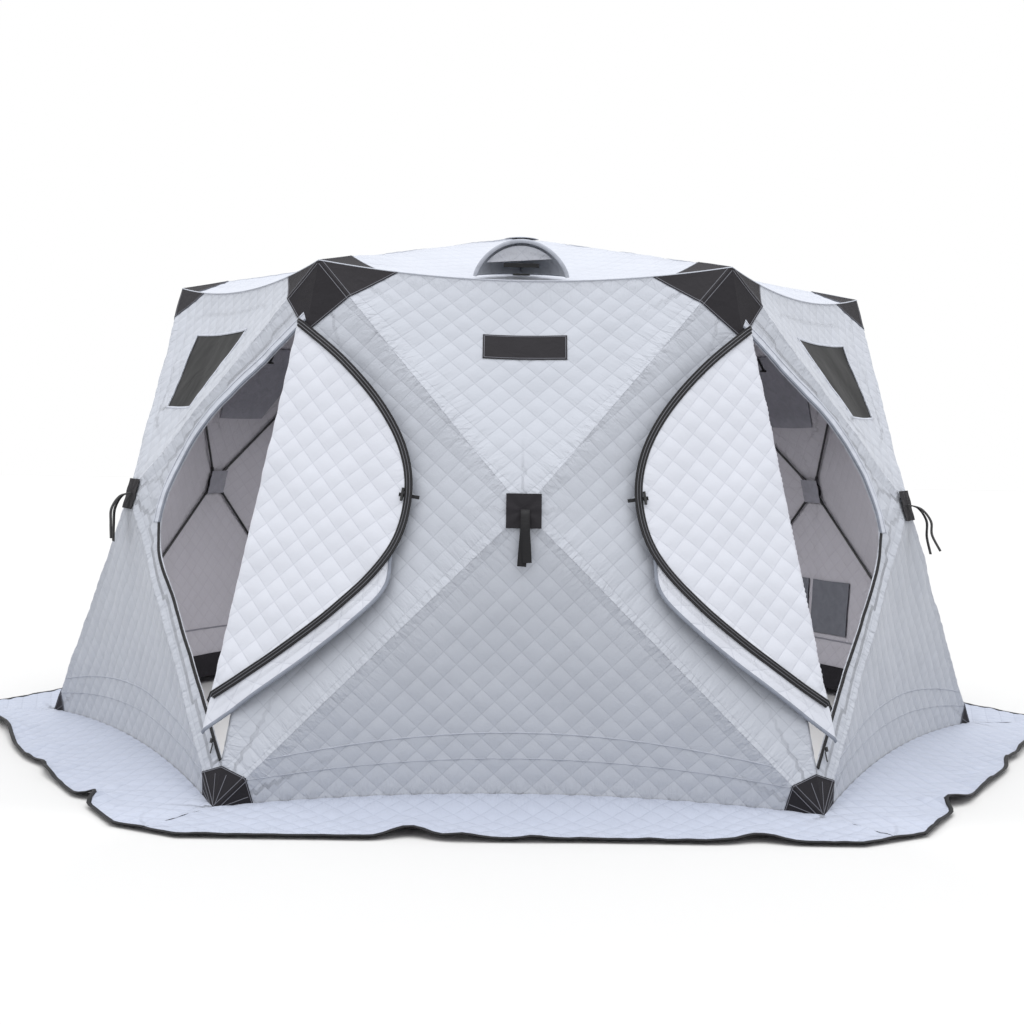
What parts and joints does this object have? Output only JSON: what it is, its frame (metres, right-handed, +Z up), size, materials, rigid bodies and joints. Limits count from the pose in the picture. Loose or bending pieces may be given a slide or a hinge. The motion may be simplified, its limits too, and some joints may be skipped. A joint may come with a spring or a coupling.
{
  "type": "ice fishing shelter",
  "caption": "Pop-up hexagonal insulated fabric hub shelter for ice fishing, with fold-back doors, windows, vent hood and snow skirt.",
  "frame": {"origin": "middle of the shelter's footprint on the ice", "axes": "+Z up, +X to the right through a corner, the front wall faces -Y"},
  "size_m": [4.6388, 4.1442, 2.08],
  "materials": {
    "quilted_shell": "insulated quilted polyester, matt",
    "roof_quilt": "insulated quilted polyester, matt",
    "skirt_quilt": "quilted polyester, matt",
    "door_quilt": "white quilted lining",
    "black_webbing": "woven black webbing",
    "pole_rod": "black coated fibreglass rod",
    "hub_nylon": "moulded black nylon",
    "window_vinyl": "dark clear vinyl"
  },
  "bodies": {
    "shell": {"base_webbing": "black_webbing", "eave_binding": "black_webbing", "roof": "roof_quilt", "skirt": "skirt_quilt", "vent_hood": "roof_quilt", "wall_front": "quilted_shell", "wall_front_right": "quilted_shell", "wall_rear_right": "quilted_shell", "wall_rear": "quilted_shell", "wall_rear_left": "quilted_shell", "wall_front_left": "quilted_shell", "window_pane_front_left": "window_vinyl", "window_pane_front_right": "window_vinyl", "window_pane_rear_left": "window_vinyl", "window_pane_rear_right": "window_vinyl"},
    "frame_front": {"hub_front": "hub_nylon", "hub_patch_front": "black_webbing"},
    "pole_front_lower_left": {"pole_front_lower_left": "pole_rod"},
    "pole_front_lower_right": {"pole_front_lower_right": "pole_rod"},
    "pole_front_upper_left": {"pole_front_upper_left": "pole_rod"},
    "pole_front_upper_right": {"pole_front_upper_right": "pole_rod"},
    "frame_front_right": {"hub_front_right": "hub_nylon", "hub_patch_front_right": "black_webbing"},
    "pole_front_right_lower_left": {"pole_front_right_lower_left": "pole_rod"},
    "pole_front_right_lower_right": {"pole_front_right_lower_right": "pole_rod"},
    "pole_front_right_upper_left": {"pole_front_right_upper_left": "pole_rod"},
    "pole_front_right_upper_right": {"pole_front_right_upper_right": "pole_rod"},
    "frame_rear_right": {"hub_rear_right": "hub_nylon", "hub_patch_rear_right": "black_webbing"},
    "pole_rear_right_lower_left": {"pole_rear_right_lower_left": "pole_rod"},
    "pole_rear_right_lower_right": {"pole_rear_right_lower_right": "pole_rod"},
    "pole_rear_right_upper_left": {"pole_rear_right_upper_left": "pole_rod"},
    "pole_rear_right_upper_right": {"pole_rear_right_upper_right": "pole_rod"},
    "frame_rear": {"hub_rear": "hub_nylon", "hub_patch_rear": "black_webbing"},
    "pole_rear_lower_left": {"pole_rear_lower_left": "pole_rod"},
    "pole_rear_lower_right": {"pole_rear_lower_right": "pole_rod"},
    "pole_rear_upper_left": {"pole_rear_upper_left": "pole_rod"},
    "pole_rear_upper_right": {"pole_rear_upper_right": "pole_rod"},
    "frame_rear_left": {"hub_rear_left": "hub_nylon", "hub_patch_rear_left": "black_webbing"},
    "pole_rear_left_lower_left": {"pole_rear_left_lower_left": "pole_rod"},
    "pole_rear_left_lower_right": {"pole_rear_left_lower_right": "pole_rod"},
    "pole_rear_left_upper_left": {"pole_rear_left_upper_left": "pole_rod"},
    "pole_rear_left_upper_right": {"pole_rear_left_upper_right": "pole_rod"},
    "frame_front_left": {"hub_front_left": "hub_nylon", "hub_patch_front_left": "black_webbing"},
    "pole_front_left_lower_left": {"pole_front_left_lower_left": "pole_rod"},
    "pole_front_left_lower_right": {"pole_front_left_lower_right": "pole_rod"},
    "pole_front_left_upper_left": {"pole_front_left_upper_left": "pole_rod"},
    "pole_front_left_upper_right": {"pole_front_left_upper_right": "pole_rod"},
    "frame_roof": {"hub_roof": "hub_nylon"},
    "pole_roof_1": {"pole_roof_1": "pole_rod"},
    "pole_roof_2": {"pole_roof_2": "pole_rod"},
    "pole_roof_3": {"pole_roof_3": "pole_rod"},
    "pole_roof_4": {"pole_roof_4": "pole_rod"},
    "pole_roof_5": {"pole_roof_5": "pole_rod"},
    "pole_roof_6": {"pole_roof_6": "pole_rod"},
    "door_left": {"door_left": "door_quilt"},
    "door_right": {"door_right": "door_quilt"}
  },
  "joints": [
    {"name": "hub_front_push", "type": "slide", "parent": "shell", "child": "frame_front", "axis": [0, 0.9681, -0.2506], "range_m": [0, 0.393], "deforming": ["wall_front"]},
    {"name": "pole_front_lower_left_swing", "type": "hinge", "parent": "frame_front", "child": "pole_front_lower_left", "pos_m": [-0.02587, -1.68258, 0.96124], "axis": [-0.6955, 0.1801, 0.6956], "range_deg": [-0.5, 17.88]},
    {"name": "pole_front_lower_right_swing", "type": "hinge", "parent": "frame_front", "child": "pole_front_lower_right", "pos_m": [0.02587, -1.68258, 0.96124], "axis": [-0.6955, -0.1801, -0.6956], "range_deg": [-0.5, 17.88]},
    {"name": "pole_front_upper_left_swing", "type": "hinge", "parent": "frame_front", "child": "pole_front_upper_left", "pos_m": [-0.02209, -1.66918, 1.01299], "axis": [0.7895, 0.1538, 0.5941], "range_deg": [-0.5, 21.21]},
    {"name": "pole_front_upper_right_swing", "type": "hinge", "parent": "frame_front", "child": "pole_front_upper_right", "pos_m": [0.02209, -1.66918, 1.01299], "axis": [0.7895, -0.1538, -0.5941], "range_deg": [-0.5, 21.21]},
    {"name": "hub_front_right_push", "type": "slide", "parent": "shell", "child": "frame_front_right", "axis": [-0.8384, 0.484, -0.2506], "range_m": [0, 0.393], "deforming": ["wall_front_right"]},
    {"name": "pole_front_right_lower_left_swing", "type": "hinge", "parent": "frame_front_right", "child": "pole_front_right_lower_left", "pos_m": [1.44422, -0.86369, 0.96124], "axis": [-0.5037, -0.5123, 0.6956], "range_deg": [-0.5, 17.88]},
    {"name": "pole_front_right_lower_right_swing", "type": "hinge", "parent": "frame_front_right", "child": "pole_front_right_lower_right", "pos_m": [1.47009, -0.81889, 0.96124], "axis": [-0.1918, -0.6924, -0.6956], "range_deg": [-0.5, 17.88]},
    {"name": "pole_front_right_upper_left_swing", "type": "hinge", "parent": "frame_front_right", "child": "pole_front_right_upper_left", "pos_m": [1.43451, -0.85373, 1.01299], "axis": [0.2616, 0.7606, 0.5941], "range_deg": [-0.5, 21.21]},
    {"name": "pole_front_right_upper_right_swing", "type": "hinge", "parent": "frame_front_right", "child": "pole_front_right_upper_right", "pos_m": [1.4566, -0.81546, 1.01299], "axis": [0.528, 0.6068, -0.5941], "range_deg": [-0.5, 21.21]},
    {"name": "hub_rear_right_push", "type": "slide", "parent": "shell", "child": "frame_rear_right", "axis": [-0.8384, -0.484, -0.2506], "range_m": [0, 0.393], "deforming": ["wall_rear_right"]},
    {"name": "pole_rear_right_lower_left_swing", "type": "hinge", "parent": "frame_rear_right", "child": "pole_rear_right_lower_left", "pos_m": [1.47009, 0.81889, 0.96124], "axis": [0.1918, -0.6924, 0.6956], "range_deg": [-0.5, 17.88]},
    {"name": "pole_rear_right_lower_right_swing", "type": "hinge", "parent": "frame_rear_right", "child": "pole_rear_right_lower_right", "pos_m": [1.44422, 0.86369, 0.96124], "axis": [0.5037, -0.5123, -0.6956], "range_deg": [-0.5, 17.88]},
    {"name": "pole_rear_right_upper_left_swing", "type": "hinge", "parent": "frame_rear_right", "child": "pole_rear_right_upper_left", "pos_m": [1.4566, 0.81546, 1.01299], "axis": [-0.528, 0.6068, 0.5941], "range_deg": [-0.5, 21.21]},
    {"name": "pole_rear_right_upper_right_swing", "type": "hinge", "parent": "frame_rear_right", "child": "pole_rear_right_upper_right", "pos_m": [1.43451, 0.85373, 1.01299], "axis": [-0.2616, 0.7606, -0.5941], "range_deg": [-0.5, 21.21]},
    {"name": "hub_rear_push", "type": "slide", "parent": "shell", "child": "frame_rear", "axis": [0, -0.9681, -0.2506], "range_m": [0, 0.393], "deforming": ["wall_rear"]},
    {"name": "pole_rear_lower_left_swing", "type": "hinge", "parent": "frame_rear", "child": "pole_rear_lower_left", "pos_m": [0.02587, 1.68258, 0.96124], "axis": [0.6955, -0.1801, 0.6956], "range_deg": [-0.5, 17.88]},
    {"name": "pole_rear_lower_right_swing", "type": "hinge", "parent": "frame_rear", "child": "pole_rear_lower_right", "pos_m": [-0.02587, 1.68258, 0.96124], "axis": [0.6955, 0.1801, -0.6956], "range_deg": [-0.5, 17.88]},
    {"name": "pole_rear_upper_left_swing", "type": "hinge", "parent": "frame_rear", "child": "pole_rear_upper_left", "pos_m": [0.02209, 1.66918, 1.01299], "axis": [-0.7895, -0.1538, 0.5941], "range_deg": [-0.5, 21.21]},
    {"name": "pole_rear_upper_right_swing", "type": "hinge", "parent": "frame_rear", "child": "pole_rear_upper_right", "pos_m": [-0.02209, 1.66918, 1.01299], "axis": [-0.7895, 0.1538, -0.5941], "range_deg": [-0.5, 21.21]},
    {"name": "hub_rear_left_push", "type": "slide", "parent": "shell", "child": "frame_rear_left", "axis": [0.8384, -0.484, -0.2506], "range_m": [0, 0.393], "deforming": ["wall_rear_left"]},
    {"name": "pole_rear_left_lower_left_swing", "type": "hinge", "parent": "frame_rear_left", "child": "pole_rear_left_lower_left", "pos_m": [-1.44422, 0.86369, 0.96124], "axis": [0.5037, 0.5123, 0.6956], "range_deg": [-0.5, 17.88]},
    {"name": "pole_rear_left_lower_right_swing", "type": "hinge", "parent": "frame_rear_left", "child": "pole_rear_left_lower_right", "pos_m": [-1.47009, 0.81889, 0.96124], "axis": [0.1918, 0.6924, -0.6956], "range_deg": [-0.5, 17.88]},
    {"name": "pole_rear_left_upper_left_swing", "type": "hinge", "parent": "frame_rear_left", "child": "pole_rear_left_upper_left", "pos_m": [-1.43451, 0.85373, 1.01299], "axis": [-0.2616, -0.7606, 0.5941], "range_deg": [-0.5, 21.21]},
    {"name": "pole_rear_left_upper_right_swing", "type": "hinge", "parent": "frame_rear_left", "child": "pole_rear_left_upper_right", "pos_m": [-1.4566, 0.81546, 1.01299], "axis": [-0.528, -0.6068, -0.5941], "range_deg": [-0.5, 21.21]},
    {"name": "hub_front_left_push", "type": "slide", "parent": "shell", "child": "frame_front_left", "axis": [0.8384, 0.484, -0.2506], "range_m": [0, 0.393], "deforming": ["wall_front_left"]},
    {"name": "pole_front_left_lower_left_swing", "type": "hinge", "parent": "frame_front_left", "child": "pole_front_left_lower_left", "pos_m": [-1.47009, -0.81889, 0.96124], "axis": [-0.1918, 0.6924, 0.6956], "range_deg": [-0.5, 17.88]},
    {"name": "pole_front_left_lower_right_swing", "type": "hinge", "parent": "frame_front_left", "child": "pole_front_left_lower_right", "pos_m": [-1.44422, -0.86369, 0.96124], "axis": [-0.5037, 0.5123, -0.6956], "range_deg": [-0.5, 17.88]},
    {"name": "pole_front_left_upper_left_swing", "type": "hinge", "parent": "frame_front_left", "child": "pole_front_left_upper_left", "pos_m": [-1.4566, -0.81546, 1.01299], "axis": [0.528, -0.6068, 0.5941], "range_deg": [-0.5, 21.21]},
    {"name": "pole_front_left_upper_right_swing", "type": "hinge", "parent": "frame_front_left", "child": "pole_front_left_upper_right", "pos_m": [-1.43451, -0.85373, 1.01299], "axis": [0.2616, -0.7606, -0.5941], "range_deg": [-0.5, 21.21]},
    {"name": "hub_roof_drop", "type": "slide", "parent": "shell", "child": "frame_roof", "axis": [0, 0, -1], "range_m": [0, 0.449], "deforming": ["roof", "vent_hood"]},
    {"name": "pole_roof_1_swing", "type": "hinge", "parent": "frame_roof", "child": "pole_roof_1", "pos_m": [0.036, 0, 2.06], "axis": [0, -1, 0], "range_deg": [-0.5, 19.47]},
    {"name": "pole_roof_2_swing", "type": "hinge", "parent": "frame_roof", "child": "pole_roof_2", "pos_m": [0.018, 0.03118, 2.06], "axis": [0.866, -0.5, 0], "range_deg": [-0.5, 19.47]},
    {"name": "pole_roof_3_swing", "type": "hinge", "parent": "frame_roof", "child": "pole_roof_3", "pos_m": [-0.018, 0.03118, 2.06], "axis": [0.866, 0.5, 0], "range_deg": [-0.5, 19.47]},
    {"name": "pole_roof_4_swing", "type": "hinge", "parent": "frame_roof", "child": "pole_roof_4", "pos_m": [-0.036, 0, 2.06], "axis": [0, 1, 0], "range_deg": [-0.5, 19.47]},
    {"name": "pole_roof_5_swing", "type": "hinge", "parent": "frame_roof", "child": "pole_roof_5", "pos_m": [-0.018, -0.03118, 2.06], "axis": [-0.866, 0.5, 0], "range_deg": [-0.5, 19.47]},
    {"name": "pole_roof_6_swing", "type": "hinge", "parent": "frame_roof", "child": "pole_roof_6", "pos_m": [0.018, -0.03118, 2.06], "axis": [-0.866, -0.5, 0], "range_deg": [-0.5, 19.47]},
    {"name": "door_left_swing", "type": "hinge", "parent": "shell", "child": "door_left", "pos_m": [-0.86545, -1.499, 0.91109], "axis": [-0.1432, -0.248, -0.9581], "range_deg": [0, 208.08]},
    {"name": "door_right_swing", "type": "hinge", "parent": "shell", "child": "door_right", "pos_m": [0.86545, -1.499, 0.91109], "axis": [-0.1432, 0.248, 0.9581], "range_deg": [0, 208.08]}
  ],
  "couplings": [
    {"joint": "pole_front_lower_left_swing", "follows": "hub_front_push", "rad_per_m": 0.77165},
    {"joint": "pole_front_lower_right_swing", "follows": "hub_front_push", "rad_per_m": 0.77165},
    {"joint": "pole_front_upper_left_swing", "follows": "hub_front_push", "rad_per_m": 0.91982},
    {"joint": "pole_front_upper_right_swing", "follows": "hub_front_push", "rad_per_m": 0.91982},
    {"joint": "pole_front_right_lower_left_swing", "follows": "hub_front_right_push", "rad_per_m": 0.77165},
    {"joint": "pole_front_right_lower_right_swing", "follows": "hub_front_right_push", "rad_per_m": 0.77165},
    {"joint": "pole_front_right_upper_left_swing", "follows": "hub_front_right_push", "rad_per_m": 0.91982},
    {"joint": "pole_front_right_upper_right_swing", "follows": "hub_front_right_push", "rad_per_m": 0.91982},
    {"joint": "pole_rear_right_lower_left_swing", "follows": "hub_rear_right_push", "rad_per_m": 0.77165},
    {"joint": "pole_rear_right_lower_right_swing", "follows": "hub_rear_right_push", "rad_per_m": 0.77165},
    {"joint": "pole_rear_right_upper_left_swing", "follows": "hub_rear_right_push", "rad_per_m": 0.91982},
    {"joint": "pole_rear_right_upper_right_swing", "follows": "hub_rear_right_push", "rad_per_m": 0.91982},
    {"joint": "pole_rear_lower_left_swing", "follows": "hub_rear_push", "rad_per_m": 0.77165},
    {"joint": "pole_rear_lower_right_swing", "follows": "hub_rear_push", "rad_per_m": 0.77165},
    {"joint": "pole_rear_upper_left_swing", "follows": "hub_rear_push", "rad_per_m": 0.91982},
    {"joint": "pole_rear_upper_right_swing", "follows": "hub_rear_push", "rad_per_m": 0.91982},
    {"joint": "pole_rear_left_lower_left_swing", "follows": "hub_rear_left_push", "rad_per_m": 0.77165},
    {"joint": "pole_rear_left_lower_right_swing", "follows": "hub_rear_left_push", "rad_per_m": 0.77165},
    {"joint": "pole_rear_left_upper_left_swing", "follows": "hub_rear_left_push", "rad_per_m": 0.91982},
    {"joint": "pole_rear_left_upper_right_swing", "follows": "hub_rear_left_push", "rad_per_m": 0.91982},
    {"joint": "pole_front_left_lower_left_swing", "follows": "hub_front_left_push", "rad_per_m": 0.77165},
    {"joint": "pole_front_left_lower_right_swing", "follows": "hub_front_left_push", "rad_per_m": 0.77165},
    {"joint": "pole_front_left_upper_left_swing", "follows": "hub_front_left_push", "rad_per_m": 0.91982},
    {"joint": "pole_front_left_upper_right_swing", "follows": "hub_front_left_push", "rad_per_m": 0.91982},
    {"joint": "pole_roof_1_swing", "follows": "hub_roof_drop", "rad_per_m": 0.73723},
    {"joint": "pole_roof_2_swing", "follows": "hub_roof_drop", "rad_per_m": 0.73723},
    {"joint": "pole_roof_3_swing", "follows": "hub_roof_drop", "rad_per_m": 0.73723},
    {"joint": "pole_roof_4_swing", "follows": "hub_roof_drop", "rad_per_m": 0.73723},
    {"joint": "pole_roof_5_swing", "follows": "hub_roof_drop", "rad_per_m": 0.73723},
    {"joint": "pole_roof_6_swing", "follows": "hub_roof_drop", "rad_per_m": 0.73723}
  ]
}
